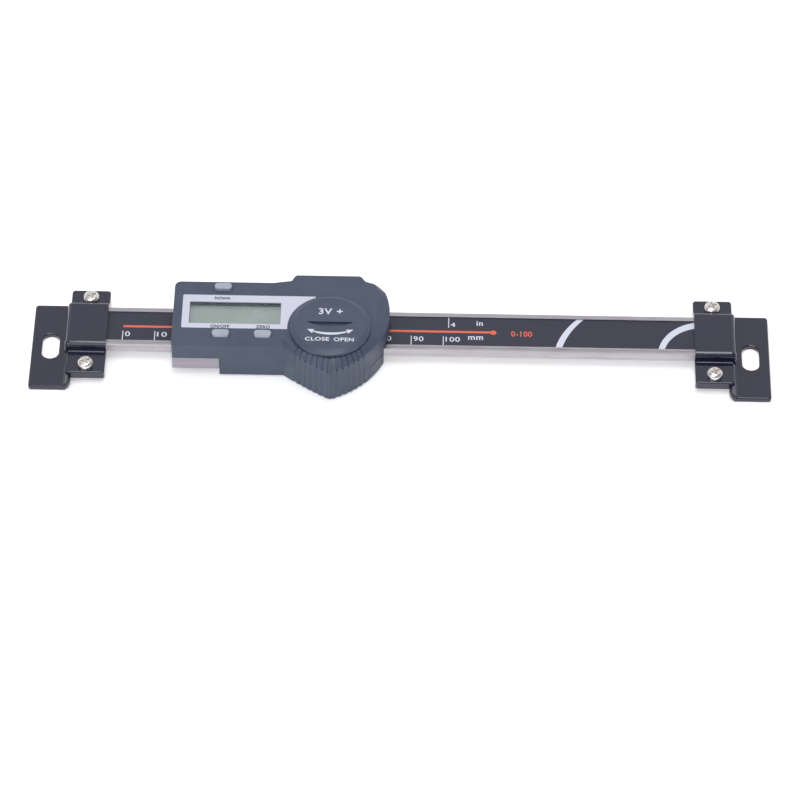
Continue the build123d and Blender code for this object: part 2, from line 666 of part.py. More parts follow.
GIB_BACK = -RAIL_W / 2 - GUIDE - GIB_T
with BuildPart() as gib_spring:
    with BuildSketch(Plane.XY.offset(RAIL_Z + 0.6)):
        with BuildLine():
            Spline(
                (-66.0, GIB_BACK - 0.24),
                (-56.0, GIB_BACK - 0.09),
                (-46.0, GIB_BACK - 0.24),
                (-37.5, GIB_BACK - 0.09),
                (-29.0, GIB_BACK - 0.24),
                (-19.0, GIB_BACK - 0.09),
            )
        trace(line_width=0.12)
    extrude(amount=RAIL_T - 1.2)
gib_spring.part.label = "gib_spring"
export_step(gib_spring.part, "parts/gib_spring.step")

with BuildPart() as gib_screws:
    with BuildSketch(Plane.XZ.offset(-GIB_BACK + GIB_SPACE + 0.02)):
        for x in (-46.0, -29.0):
            with Locations((x, RAIL_Z + RAIL_T / 2)):
                Circle(1.0)
    extrude(amount=2.6)
    with BuildSketch(Plane.XZ.offset(-GIB_BACK + GIB_SPACE + 1.6)):
        for x in (-46.0, -29.0):
            with Locations((x, RAIL_Z + RAIL_T / 2)):
                RegularPolygon(0.5, 6)
    extrude(amount=2, mode=Mode.SUBTRACT)
gib_screws.part.label = "gib_screws"
export_step(gib_screws.part, "parts/gib_screws.step")

PLATE_BOTTOM = 1.2
with BuildPart() as slider_back_plate:
    with BuildSketch(Plane.XY.offset(PLATE_BOTTOM)) as back_plan:
        with Locations((HEAD_LEFT + 0.6, -12.6)):
            Rectangle(-13.2 - HEAD_LEFT, 12.6 + 11.2, align=(Align.MIN, Align.MIN))
        with Locations((-13, -7.8)):
            Rectangle(6.4, 7.8 + 11.2, align=(Align.MIN, Align.MIN))
        fillet(back_plan.vertices().sort_by(Axis.X)[:2], 1.5)
    extrude(amount=SLIDER_BOTTOM - PLATE_BOTTOM)
    for x in MOUNT_X:
        for y in MOUNT_Y:
            with Locations((x, y, PLATE_BOTTOM)):
                Cylinder(
                    MOUNT_HOLE_R, 3, align=(Align.CENTER, Align.CENTER, Align.MIN), mode=Mode.SUBTRACT
                )
    with Locations(*[(x, y, PLATE_BOTTOM) for x in (-54.0, -22.0) for y in MOUNT_Y]):
        Cylinder(1.1, 3, align=(Align.CENTER, Align.CENTER, Align.MIN), mode=Mode.SUBTRACT)
        Cone(2.0, 1.1, 0.9, align=(Align.CENTER, Align.CENTER, Align.MIN), mode=Mode.SUBTRACT)
slider_back_plate.part.label = "slider_back_plate"
export_step(slider_back_plate.part, "parts/slider_back_plate.step")

with BuildPart() as back_plate_screws:
    with Locations(*[(x, y, PLATE_BOTTOM + 0.05) for x in (-54.0, -22.0) for y in MOUNT_Y]):
        Cone(1.9, 1.0, 0.9, align=(Align.CENTER, Align.CENTER, Align.MIN))
        Cylinder(1.0, 3.9, align=(Align.CENTER, Align.CENTER, Align.MIN))
        Box(
            2.0, 0.4, 0.4, align=(Align.CENTER, Align.CENTER, Align.MIN), mode=Mode.SUBTRACT
        )
back_plate_screws.part.label = "back_plate_screws"
export_step(back_plate_screws.part, "parts/back_plate_screws.step")

with BuildPart() as housing_screws:
    for x, y in HOUSING_SCREWS:
        with Locations((x, y, SLIDER_BOTTOM + 0.1)):
            Cylinder(1.3, 1.1, align=(Align.CENTER, Align.CENTER, Align.MIN))
            Cylinder(0.85, 9.0, align=(Align.CENTER, Align.CENTER, Align.MIN))
            Box(
                1.8, 0.35, 0.5, align=(Align.CENTER, Align.CENTER, Align.MIN), mode=Mode.SUBTRACT
            )
housing_screws.part.label = "housing_screws"
export_step(housing_screws.part, "parts/housing_screws.step")

for side, x in (("left", HEAD_LEFT + 0.1), ("right", SLIDER_RIGHT - 1.1)):
    with BuildPart() as wiper:
        with BuildSketch(Plane.YZ.offset(x)):
            with Locations((0, RAIL_TOP)):
                Rectangle(GROOVE_W - 0.4, 0.2, align=(Align.CENTER, Align.MAX))
            with Locations((0, RAIL_TOP - 0.01)):
                Rectangle(GROOVE_W - 0.4, 0.1, align=(Align.CENTER, Align.MIN))
        extrude(amount=1.0)
    wiper.part.label = f"{side}_wiper"
    export_step(wiper.part, f"parts/{side}_wiper.step")

# ---------------------------------------------------------------- electronics
with BuildPart() as sensor_board:
    with BuildSketch(Plane.XY.offset(RAIL_TOP + 0.12)):
        with Locations((-38.0, 0)):
            Rectangle(47.9, 11.9)
    extrude(amount=SEAT_Z - RAIL_TOP - 0.12)
sensor_board.part.label = "sensor_board"
export_step(sensor_board.part, "parts/sensor_board.step")

PCB_LEFT = -65.4
PCB_RIGHT = -10.8
with BuildPart() as main_board:
    with BuildSketch(Plane.XY.offset(PCB_Z)):
        with Locations((PCB_LEFT, -12.4)):
            Rectangle(PCB_RIGHT - PCB_LEFT, 12.4 + 10.3, align=(Align.MIN, Align.MIN))
    extrude(amount=PCB_T)
main_board.part.label = "main_board"
export_step(main_board.part, "parts/main_board.step")

with BuildPart() as processor_chip:
    with Locations((-51.5, WINDOW_Y, PCB_TOP)):
        Cylinder(2.4, 0.9, align=(Align.CENTER, Align.CENTER, Align.MIN))
    fillet(processor_chip.edges().group_by(Axis.Z)[-1], 0.7)
processor_chip.part.label = "processor_chip"
export_step(processor_chip.part, "parts/processor_chip.step")

SWITCH_TOP = 9.7
with BuildPart() as key_switches:
    for x, y in KEYS.values():
        with Locations((x, y, PCB_TOP)):
            Box(3.0, 2.0, 1.0, align=(Align.CENTER, Align.CENTER, Align.MIN))
            Cylinder(0.8, SWITCH_TOP - PCB_TOP, align=(Align.CENTER, Align.CENTER, Align.MIN))
key_switches.part.label = "key_switches"
export_step(key_switches.part, "parts/key_switches.step")

KEY_STEM_BOTTOM = SWITCH_TOP + 0.55
for key, (x, y) in KEYS.items():
    with BuildPart() as button:
        with BuildSketch(Plane.XY.offset(KEY_FLANGE_Z)):
            with Locations((x, y)):
                RectangleRounded(KEY_L, KEY_W, KEY_R)
        extrude(amount=HEAD_TOP + KEY_RISE - KEY_FLANGE_Z)
        fillet(button.edges().group_by(Axis.Z)[-1], 0.45)
        with Locations((x, y, KEY_FLANGE_Z)):
            Box(KEY_L + 1.4, KEY_W, 0.95, align=(Align.CENTER, Align.CENTER, Align.MIN))
        with Locations((x, y, KEY_STEM_BOTTOM)):
            Cylinder(1.0, 3.0, align=(Align.CENTER, Align.CENTER, Align.MIN))
    button.part.label = f"{key}_button"
    export_step(button.part, f"parts/{key}_button.step")

# ---------------------------------------------------------------- battery compartment
with BuildPart() as coin_cell:
    with Locations((CAP_X, CAP_Y, TRAY_FLOOR + 0.2)):
        Cylinder(CELL_R, CELL_T, align=(Align.CENTER, Align.CENTER, Align.MIN))
    fillet(coin_cell.edges().group_by(Axis.Z)[-1], 0.4)
    chamfer(coin_cell.edges().group_by(Axis.Z)[0], 0.8)
coin_cell.part.label = "coin_cell"
export_step(coin_cell.part, "parts/coin_cell.step")

with BuildPart() as battery_negative_contact:
    with BuildSketch(Plane.XY.offset(TRAY_FLOOR)):
        with Locations((CAP_X, CAP_Y)):
            SlotOverall(14, 3.0, rotation=90)
    extrude(amount=0.18)
battery_negative_contact.part.label = "battery_negative_contact"
export_step(battery_negative_contact.part, "parts/battery_negative_contact.step")

with BuildPart() as battery_positive_contact:
    with BuildSketch(Plane.XY.offset(TRAY_FLOOR)):
        with Locations((CAP_X, CAP_Y)):
            Circle(TRAY_R - 0.1)
            Circle(CELL_R + 0.3, mode=Mode.SUBTRACT)
        with Locations(Location((CAP_X, CAP_Y, 0), (0, 0, 180))):
            Rectangle(TRAY_R + 1, 5.0, align=(Align.MIN, Align.CENTER), mode=Mode.INTERSECT)
    extrude(amount=2.3)
battery_positive_contact.part.label = "battery_positive_contact"
export_step(battery_positive_contact.part, "parts/battery_positive_contact.step")

PLUG_R = 11.2
RING_R = 11.03
RING_Z = 14.25
with BuildPart() as battery_cap:
    with Locations((CAP_X, CAP_Y, HEAD_TOP + 0.3)):
        Cylinder(CAP_R, CAP_TOP - HEAD_TOP - 0.3, align=(Align.CENTER, Align.CENTER, Align.MIN))
    rim = battery_cap.edges().group_by(Axis.Z)[-1]
    chamfer(rim, length=0.8, length2=1.6)
    with Locations((CAP_X, CAP_Y, HEAD_TOP + 0.05)):
        Cylinder(CAP_R - 0.6, 0.4, align=(Align.CENTER, Align.CENTER, Align.MIN))
    with Locations((CAP_X, CAP_Y, 12.7)):
        Cylinder(PLUG_R, 2.6, align=(Align.CENTER, Align.CENTER, Align.MIN))
    with BuildSketch(Plane.XY.offset(12.7)):
        for turn in (0, 180):
            with Locations(Location((CAP_X, CAP_Y, 0), (0, 0, turn))):
                Rectangle(PLUG_R + 0.8, 4.4, align=(Align.MIN, Align.CENTER))
        with Locations((CAP_X, CAP_Y)):
            Circle(PLUG_R + 0.8, mode=Mode.INTERSECT)
    extrude(amount=0.5)
    with Locations((CAP_X, CAP_Y, 12.6)):
        Cylinder(
            PLUG_R - 0.8, 1.0, align=(Align.CENTER, Align.CENTER, Align.MIN), mode=Mode.SUBTRACT
        )
    with BuildSketch(Plane.XY.offset(RING_Z - 0.35)):
        with Locations((CAP_X, CAP_Y)):
            Circle(PLUG_R)
            Circle(RING_R - 0.32, mode=Mode.SUBTRACT)
    extrude(amount=0.7, mode=Mode.SUBTRACT)
    # Coin slot: straight along the rear, curved along the front
    with BuildSketch(Plane.XY.offset(CAP_TOP - 0.9)):
        with BuildLine():
            Line((CAP_X - 7.4, CAP_Y + 0.9), (CAP_X + 7.4, CAP_Y + 0.9))
            ThreePointArc(
                (CAP_X + 7.4, CAP_Y + 0.9), (CAP_X, CAP_Y - 1.1), (CAP_X - 7.4, CAP_Y + 0.9)
            )
        make_face()
    extrude(amount=1.0, mode=Mode.SUBTRACT)
battery_cap.part.label = "battery_cap"
export_step(battery_cap.part, "parts/battery_cap.step")

with BuildPart() as cap_o_ring:
    with Locations((CAP_X, CAP_Y, RING_Z)):
        Torus(RING_R, 0.3)
cap_o_ring.part.label = "cap_o_ring"
export_step(cap_o_ring.part, "parts/cap_o_ring.step")

# ---------------------------------------------------------------- skirt: bottom cover and data port
with BuildPart() as skirt_cover:
    with BuildSketch(Plane.XY.offset(HEAD_BOTTOM)):
        add(inset_outline(WALL + 0.05))
        with Locations((-100, -13.1)):
            Rectangle(200, 60, align=(Align.MIN, Align.MIN), mode=Mode.SUBTRACT)
        with Locations((-12.5, -60)):
            Rectangle(60, 120, align=(Align.MIN, Align.MIN), mode=Mode.SUBTRACT)
    extrude(amount=1.2)
    with Locations(*[(x, y, HEAD_BOTTOM) for x, y in COVER_SCREWS]):
        Cylinder(0.95, 2, align=(Align.CENTER, Align.CENTER, Align.MIN), mode=Mode.SUBTRACT)
        Cylinder(1.4, 0.6, align=(Align.CENTER, Align.CENTER, Align.MIN), mode=Mode.SUBTRACT)
skirt_cover.part.label = "skirt_cover"
export_step(skirt_cover.part, "parts/skirt_cover.step")

with BuildPart() as skirt_cover_screws:
    for x, y in COVER_SCREWS:
        with Locations((x, y, HEAD_BOTTOM + 0.1)):
            Cylinder(1.3, 0.5, align=(Align.CENTER, Align.CENTER, Align.MIN))
            Cylinder(0.85, 4.6, align=(Align.CENTER, Align.CENTER, Align.MIN))
skirt_cover_screws.part.label = "skirt_cover_screws"
export_step(skirt_cover_screws.part, "parts/skirt_cover_screws.step")

with BuildPart() as data_port_cover:
    with BuildSketch(Plane.XY.offset(PORT_BOTTOM + 0.1)):
        add(head_outline.sketch)
        add(inset_outline(WALL), mode=Mode.SUBTRACT)
        with Locations(port_place):
            Rectangle(8, PORT_W - 0.2, mode=Mode.INTERSECT)
    extrude(amount=PORT_TOP - PORT_BOTTOM - 0.1 - PORT_GAP)
data_port_cover.part.label = "data_port_cover"
export_step(data_port_cover.part, "parts/data_port_cover.step")

with BuildPart() as data_port_socket:
    with BuildSketch(Plane.XY.offset(PORT_BOTTOM + 0.2)):
        with Locations(port_place * Location((-2.6, -1.0, 0))):
            Rectangle(1.6, 4.6)
    extrude(amount=3.6)
data_port_socket.part.label = "data_port_socket"
export_step(data_port_socket.part, "parts/data_port_socket.step")
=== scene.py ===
"""Horizontal digital scale: materials, prints, floor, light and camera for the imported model.

Blender works in metres, in the frame of the CAD model: x along the rail, y to the rear, z up from
the mounting plane. Prints and the sizes of textures are given in millimetres.
"""

import math

import bmesh
import bpy
from mathutils import Matrix, Vector


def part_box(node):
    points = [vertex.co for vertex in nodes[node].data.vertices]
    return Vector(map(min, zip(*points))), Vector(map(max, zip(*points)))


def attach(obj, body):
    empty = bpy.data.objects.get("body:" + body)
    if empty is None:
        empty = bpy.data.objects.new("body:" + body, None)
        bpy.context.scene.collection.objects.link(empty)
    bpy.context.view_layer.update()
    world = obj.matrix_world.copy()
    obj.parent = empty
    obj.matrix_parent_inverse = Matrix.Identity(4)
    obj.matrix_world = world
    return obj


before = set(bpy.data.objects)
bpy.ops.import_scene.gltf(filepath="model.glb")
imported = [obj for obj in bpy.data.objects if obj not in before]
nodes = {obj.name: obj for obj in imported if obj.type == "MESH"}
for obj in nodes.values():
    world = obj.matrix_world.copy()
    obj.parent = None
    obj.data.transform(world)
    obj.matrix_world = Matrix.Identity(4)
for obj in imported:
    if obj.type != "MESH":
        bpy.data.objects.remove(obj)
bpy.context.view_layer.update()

MM = 0.001
INCH = 25.4

# Most values of a noise texture lie between these two
NOISE_LOW = 0.3
NOISE_HIGH = 0.7

# A Mix node's colour sockets share their names with its other sockets, so they go by number
MIX_COLOUR_A = 6
MIX_COLOUR_B = 7
MIX_COLOUR_OUT = 2


# ---------------------------------------------------------------- node helpers
def set_ramp(node, dark, light, dark_at, light_at):
    """Set both ends of a colour ramp node, each to a grey level or a colour."""
    ends = zip(node.color_ramp.elements, (dark_at, light_at), (dark, light))
    for point, position, colour in ends:
        point.position = position
        point.color = (colour, colour, colour, 1) if isinstance(colour, float) else (*colour, 1)


class Shader:
    """A Principled material with short calls for the procedural nodes used here."""

    def __init__(self, name, roughness, metallic=0.0, **sockets):
        self.material = bpy.data.materials.new(name)
        self.material.use_nodes = True
        self.tree = self.material.node_tree
        self.bsdf = self.tree.nodes["Principled BSDF"]
        self.bsdf.inputs["Roughness"].default_value = roughness
        self.bsdf.inputs["Metallic"].default_value = metallic
        for socket, value in sockets.items():
            self.bsdf.inputs[socket.replace("_", " ")].default_value = value

    def node(self, kind, **settings):
        made = self.tree.nodes.new(kind)
        for key, value in settings.items():
            setattr(made, key, value)
        return made

    def link(self, source, target):
        self.tree.links.new(source, target)

    def coords(self, stretch=(1, 1, 1), turn=(0, 0, 0)):
        """Object coordinates in millimetres, divided by stretch."""
        where = self.node("ShaderNodeTexCoord")
        scaled = self.node("ShaderNodeMapping")
        scaled.inputs["Rotation"].default_value = turn
        scaled.inputs["Scale"].default_value = [1 / MM / s for s in stretch]
        self.link(where.outputs["Object"], scaled.inputs["Vector"])
        return scaled.outputs["Vector"]

    def noise(self, size, stretch=(1, 1, 1), detail=3, rough=0.5, turn=(0, 0, 0)):
        """Noise whose features are about size millimetres."""
        made = self.node("ShaderNodeTexNoise")
        made.inputs["Scale"].default_value = 1.0 / size
        made.inputs["Detail"].default_value = detail
        made.inputs["Roughness"].default_value = rough
        self.link(self.coords(stretch, turn), made.inputs["Vector"])
        return made.outputs["Fac"]

    def cells(self, size):
        """Distance from the middle of cells that are about size millimetres across."""
        made = self.node("ShaderNodeTexVoronoi")
        made.inputs["Scale"].default_value = 1.0 / size
        self.link(self.coords(), made.inputs["Vector"])
        return made.outputs["Distance"]

    def ramp(self, value, dark, light, dark_at=NOISE_LOW, light_at=NOISE_HIGH):
        """Go from dark to light, each a grey level or a colour, as value goes up."""
        made = self.node("ShaderNodeValToRGB")
        set_ramp(made, dark, light, dark_at, light_at)
        self.link(value, made.inputs["Fac"])
        return made.outputs["Color"]

    def range(self, value, low, high, from_low=NOISE_LOW, from_high=NOISE_HIGH):
        """Go from low to high as value goes from from_low to from_high."""
        made = self.node("ShaderNodeMapRange")
        made.inputs["From Min"].default_value = from_low
        made.inputs["From Max"].default_value = from_high
        made.inputs["To Min"].default_value = low
        made.inputs["To Max"].default_value = high
        self.link(value, made.inputs["Value"])
        return made.outputs["Result"]

    def add(self, a, b):
        made = self.node("ShaderNodeMath", operation="ADD")
        self.link(a, made.inputs[0])
        self.link(b, made.inputs[1])
        return made.outputs[0]

    def mix(self, factor, a, b, blend="MIX"):
        """Mix two colours. Each argument is a node's output, a number or a colour."""
        made = self.node("ShaderNodeMix", data_type="RGBA", blend_type=blend)
        sockets = (made.inputs["Factor"], made.inputs[MIX_COLOUR_A], made.inputs[MIX_COLOUR_B])
        for socket, value in zip(sockets, (factor, a, b)):
            if isinstance(value, float):
                socket.default_value = value
            elif isinstance(value, tuple):
                socket.default_value = (*value, 1)
            else:
                self.link(value, socket)
        return made.outputs[MIX_COLOUR_OUT]

    def darken(self, colour, value, least):
        """Multiply a colour by a grey level from least to 1 that follows value."""
        return self.mix(1.0, colour, self.ramp(value, least, 1.0), "MULTIPLY")

    def colour(self, value):
        self.link(value, self.bsdf.inputs["Base Color"])

    def roughness(self, value):
        self.link(value, self.bsdf.inputs["Roughness"])

    def bump(self, *heights):
        """heights are (value, depth in millimetres), from coarse to fine."""
        last = None
        for value, depth in heights:
            made = self.node("ShaderNodeBump")
            made.inputs["Strength"].default_value = 1.0
            made.inputs["Distance"].default_value = depth * MM
            self.link(value, made.inputs["Height"])
            if last is not None:
                self.link(last, made.inputs["Normal"])
            last = made.outputs["Normal"]
        self.link(last, self.bsdf.inputs["Normal"])


def srgb(red, green, blue):
    """Linear colour from 0-255 display values."""
    values = [c / 255 for c in (red, green, blue)]
    return tuple(c / 12.92 if c <= 0.04045 else ((c + 0.055) / 1.055) ** 2.4 for c in values)


def shade(colour, factor):
    """A darker or lighter version of a colour."""
    return tuple(c * factor for c in colour)


# ---------------------------------------------------------------- materials
def moulded_plastic(name, colour, roughness, grain):
    """Fine-grained moulded plastic with faint handling marks. grain is its depth in mm."""
    s = Shader(name, roughness)
    cloud = s.noise(9.0, detail=4)
    body = s.ramp(cloud, shade(colour, 0.93), shade(colour, 1.07), dark_at=0.35, light_at=0.65)
    scuffs = s.noise(1.6, stretch=(9, 0.35, 1), detail=5, rough=0.7, turn=(0, 0, 0.5))
    marks = s.range(scuffs, 0.0, 0.35, from_low=0.66, from_high=0.78)
    worn = tuple(c * 1.9 + 0.02 for c in colour)
    s.colour(s.mix(marks, body, worn))
    s.roughness(s.range(s.noise(3.0, detail=6), roughness - 0.06, roughness + 0.08))
    s.bump((s.noise(0.22, detail=2), grain), (s.noise(0.07, detail=1), grain * 0.4))
    return s.material


def brushed_metal(name, colour, roughness, along=(30, 1, 1), stain=0.0):
    """Metal with fine lines, stretched by along. stain is how strongly grime shows on it."""
    s = Shader(name, roughness, metallic=1.0)
    lines = s.noise(0.12, stretch=along, detail=4, rough=0.65)
    broad = s.noise(1.3, stretch=along)
    bright = s.ramp(lines, shade(colour, 0.82), colour)
    tone = s.ramp(broad, 0.86, 1.0, dark_at=0.35, light_at=0.65)
    toned = s.mix(1.0, bright, tone, "MULTIPLY")
    if stain:
        blotch = s.noise(2.2, stretch=(3, 1, 1), detail=5, rough=0.6)
        patches = s.range(blotch, 0.0, stain, from_low=0.45, from_high=0.7)
        red, green, blue = colour
        toned = s.mix(patches, toned, (red * 0.72, green * 0.62, blue * 0.62))
    s.colour(toned)
    s.roughness(s.range(lines, roughness - 0.08, roughness + 0.12))
    s.bump((broad, 0.006), (lines, 0.004))
    return s.material


def bracket_coating():
    """Thin glossy black coating that follows the sheet, with faint orange peel and dust."""
    s = Shader("bracket_coating", 0.2, Coat_Weight=0.6, Coat_Roughness=0.05)
    specks = s.noise(0.45, detail=6, rough=0.75)
    dust = s.range(specks, 0.0, 0.15, from_low=0.62, from_high=0.8)
    tone = s.ramp(s.noise(7.0), srgb(15, 15, 44), srgb(20, 20, 51))
    s.colour(s.mix(dust, tone, srgb(76, 76, 92)))
    s.roughness(s.range(s.noise(1.8, detail=4), 0.16, 0.26))
    s.bump((s.noise(1.1, detail=2), 0.012), (s.noise(0.15, detail=2), 0.002))
    return s.material


def printed_ink(name, colour):
    """Screen-printed ink, slightly uneven in colour and gloss."""
    s = Shader(name, 0.5)
    uneven = s.noise(0.35, detail=4, rough=0.6)
    s.colour(s.ramp(uneven, shade(colour, 0.92), colour, dark_at=0.25, light_at=0.75))
    s.roughness(s.range(uneven, 0.45, 0.6))
    s.bump((s.noise(0.1, detail=2), 0.002))
    return s.material


def label_film():
    """Dark printed film, satin, with a fine random texture."""
    s = Shader("label_film", 0.42)
    fibre = s.noise(0.3, stretch=(2.5, 1, 1), detail=5, rough=0.65)
    tone = s.ramp(fibre, srgb(42, 42, 59), srgb(50, 50, 68))
    s.colour(s.darken(tone, s.noise(11.0, detail=2), 0.94))
    s.roughness(s.range(s.noise(0.8, detail=4), 0.36, 0.5))
    s.bump((fibre, 0.003))
    return s.material


def bezel_foil():
    """Pale satin foil with a fine metallic grain."""
    s = Shader("bezel_foil", 0.4, metallic=0.35)
    grain = s.noise(0.09, detail=2)
    tone = s.ramp(grain, srgb(206, 207, 224), srgb(223, 225, 240))
    s.colour(s.darken(tone, s.noise(6.0, detail=2), 0.96))
    s.roughness(s.range(grain, 0.34, 0.5))
    s.bump((grain, 0.002))
    return s.material


def key_plastic():
    """Pale satin plastic of the three keys."""
    s = Shader("key_plastic", 0.42)
    wide = s.noise(2.5)
    s.colour(s.ramp(wide, srgb(160, 167, 181), srgb(171, 178, 191)))
    s.roughness(s.range(wide, 0.36, 0.5))
    s.bump((s.noise(0.12), 0.004))
    return s.material


def lcd_cell():
    """Blank reflective liquid crystal cell: grey-green, slightly uneven."""
    s = Shader("lcd_glass", 0.22, Coat_Weight=0.3, Coat_Roughness=0.05)
    wide = s.noise(8.0, detail=2)
    dots = s.noise(0.14, detail=1)
    tone = s.ramp(wide, srgb(160, 175, 170), srgb(168, 183, 178))
    s.colour(s.darken(tone, dots, 0.97))
    s.roughness(s.range(wide, 0.18, 0.28))
    s.bump((dots, 0.0008))
    return s.material


def clear_window():
    """Clear acrylic that shows what is behind it, with a faint haze."""
    s = Shader("lens_acrylic", 0.04)
    see_through = s.node("ShaderNodeBsdfTransparent")
    shine = s.node("ShaderNodeBsdfGlossy")
    shine.inputs["Roughness"].default_value = 0.06
    facing = s.node("ShaderNodeFresnel")
    facing.inputs["IOR"].default_value = 1.3
    haze = s.range(s.noise(1.2, detail=5), 0.0, 0.03)
    both = s.node("ShaderNodeMixShader")
    s.link(s.add(facing.outputs[0], haze), both.inputs[0])
    s.link(see_through.outputs[0], both.inputs[1])
    s.link(shine.outputs[0], both.inputs[2])
    s.link(both.outputs[0], s.tree.nodes["Material Output"].inputs["Surface"])
    return s.material


def bright_screw():
    """Nickel plate over a stamped head: bright, with soft dents, and dark specks that are painted
    dark reflections.
    """
    s = Shader("screw_steel", 0.2, metallic=1.0)
    dents = s.noise(0.6)
    # The dark specks are painted into the colour as dark reflections in the nickel
    dark_reflection_noise = s.noise(0.3, detail=5, rough=0.7)
    specks = s.range(dark_reflection_noise, 0.0, 0.7, from_low=0.58, from_high=0.7)
    plate = s.ramp(dents, srgb(222, 215, 210), srgb(252, 250, 248))
    s.colour(s.mix(specks, plate, srgb(104, 96, 90)))
    s.roughness(s.range(dents, 0.14, 0.34))
    s.bump((dents, 0.05))
    return s.material


def circuit_board():
    """Green laminate with a faint glass weave."""
    s = Shader("circuit_laminate", 0.45)
    weave = s.cells(0.6)
    dark, light = (0.012, 0.09, 0.035), (0.02, 0.14, 0.06)
    s.colour(s.ramp(weave, dark, light, dark_at=0.0, light_at=0.8))
    s.bump((weave, 0.006))
    return s.material


def soft_rubber(name, colour):
    """Dull rubber with a fine mottle."""
    s = Shader(name, 0.7)
    fine = s.noise(0.15, detail=4)
    s.colour(s.ramp(fine, shade(colour, 0.8), colour))
    s.bump((fine, 0.01))
    return s.material


HOUSING = srgb(68, 78, 98)

# Each finish, followed by the nodes that have it
FINISHES = (
    (brushed_metal("rail_steel", srgb(198, 194, 200), 0.34, along=(40, 1, 1), stain=0.5), "beam"),
    (
        brushed_metal("slider_steel", srgb(172, 168, 177), 0.36, along=(25, 1, 1)),
        "slider_frame", "slider_back_plate",
    ),
    (brushed_metal("gib_brass", srgb(205, 165, 90), 0.35), "gib_strip"),
    (brushed_metal("spring_steel", srgb(170, 170, 172), 0.3), "gib_spring"),
    (
        brushed_metal("cell_can", srgb(215, 213, 208), 0.25, along=(1, 1, 1)),
        "coin_cell", "battery_negative_contact", "battery_positive_contact",
    ),
    (
        bracket_coating(),
        "left_mount_plate", "right_mount_plate", "left_clamp_cover", "right_clamp_cover",
    ),
    (
        bright_screw(),
        "left_clamp_screws", "right_clamp_screws", "back_plate_screws", "gib_screws",
        "housing_screws", "skirt_cover_screws",
    ),
    (label_film(), "scale_label"),
    (circuit_board(), "scale_grid_strip", "sensor_board", "main_board"),
    (
        moulded_plastic("chip_resin", (0.02, 0.02, 0.022), 0.5, grain=0.006),
        "processor_chip", "key_switches", "data_port_socket",
    ),
    (
        soft_rubber("seal_rubber", (0.025, 0.025, 0.027)),
        "left_wiper", "right_wiper", "housing_seal", "cap_o_ring",
    ),
    (soft_rubber("connector_rubber", (0.55, 0.25, 0.27)), "zebra_connectors"),
    (lcd_cell(), "lcd_glass"),
    (moulded_plastic("lcd_frame_plastic", srgb(120, 124, 135), 0.5, grain=0.008), "lcd_frame"),
    (clear_window(), "window_lens"),
    (bezel_foil(), "bezel_plate"),
    (key_plastic(), "in_mm_button", "on_off_button", "zero_button"),
    (
        moulded_plastic("housing_plastic", HOUSING, 0.46, grain=0.012),
        "upper_housing", "skirt_cover", "data_port_cover",
    ),
    (moulded_plastic("cap_plastic", HOUSING, 0.4, grain=0.008), "battery_cap"),
)
for finish, *names in FINISHES:
    for name in names:
        cad = nodes[name]
        cad.data.materials.clear()
        cad.data.materials.append(finish)

white_ink = printed_ink("white_ink", srgb(222, 224, 236))
blue_white_ink = printed_ink("stripe_ink", srgb(222, 226, 241))
orange_ink = printed_ink("orange_ink", srgb(232, 108, 82))
dark_ink = printed_ink("dark_ink", srgb(40, 42, 58))


# ---------------------------------------------------------------- prints
PRINT = 0.015 * MM  # how far a print stands proud of its face
LETTER_SPACING = 1.08


class PrintedFace:
    """A node's upper face, with the body that its prints have. The slot argument, a finish name,
    is not used.
    """

    def __init__(self, node, body, slot):
        self.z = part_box(node)[1].z + PRINT
        self.body = body
        self.slot = slot

    def piece(self, name, mesh, ink):
        made = bpy.data.objects.new(name, mesh)
        bpy.context.scene.collection.objects.link(made)
        mesh.materials.append(ink)
        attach(made, self.body)

    def shapes(self, name, outlines, ink, lift=0.0):
        """Print closed outlines, given in millimetres."""
        mesh = bpy.data.meshes.new(name)
        form = bmesh.new()
        for outline in outlines:
            corners = [form.verts.new((x * MM, y * MM, self.z + lift)) for x, y in outline]
            form.faces.new(corners)
        bmesh.ops.recalc_face_normals(form, faces=form.faces)
        for face in form.faces:
            if face.normal.z < 0:
                face.normal_flip()
        form.to_mesh(mesh)
        form.free()
        self.piece(name, mesh, ink)

    def words(self, name, text, left, front, width, height, bold, ink):
        """Print lettering, fitted to a box given by its left front corner and its size.

        bold is how far the strokes are thickened, as a share of the font's size.
        """
        curve = bpy.data.curves.new(name, "FONT")
        curve.body = text
        curve.offset = bold
        curve.space_character = LETTER_SPACING
        source = bpy.data.objects.new(name + "_source", curve)
        bpy.context.scene.collection.objects.link(source)
        bpy.context.view_layer.update()
        evaluated = source.evaluated_get(bpy.context.evaluated_depsgraph_get())
        mesh = bpy.data.meshes.new_from_object(evaluated)
        mesh.name = name
        bpy.data.objects.remove(source)
        xs = [v.co.x for v in mesh.vertices]
        ys = [v.co.y for v in mesh.vertices]
        x0, x1, y0, y1 = min(xs), max(xs), min(ys), max(ys)
        for v in mesh.vertices:
            v.co.x = (left + (v.co.x - x0) / (x1 - x0) * width) * MM
            v.co.y = (front + (v.co.y - y0) / (y1 - y0) * height) * MM
            v.co.z = self.z
        mesh.materials.clear()
        self.piece(name, mesh, ink)


def bar(x0, y0, x1, y1):
    return [(x0, y0), (x1, y0), (x1, y1), (x0, y1)]


def polar(cx, cy, radius, degrees):
    angle = math.radians(degrees)
    return (cx + radius * math.cos(angle), cy + radius * math.sin(angle))


label = PrintedFace("scale_label", "rail", "label_film")
bezel = PrintedFace("bezel_plate", "slider", "bezel_foil")
cap = PrintedFace("battery_cap", "cap", "cap_plastic")

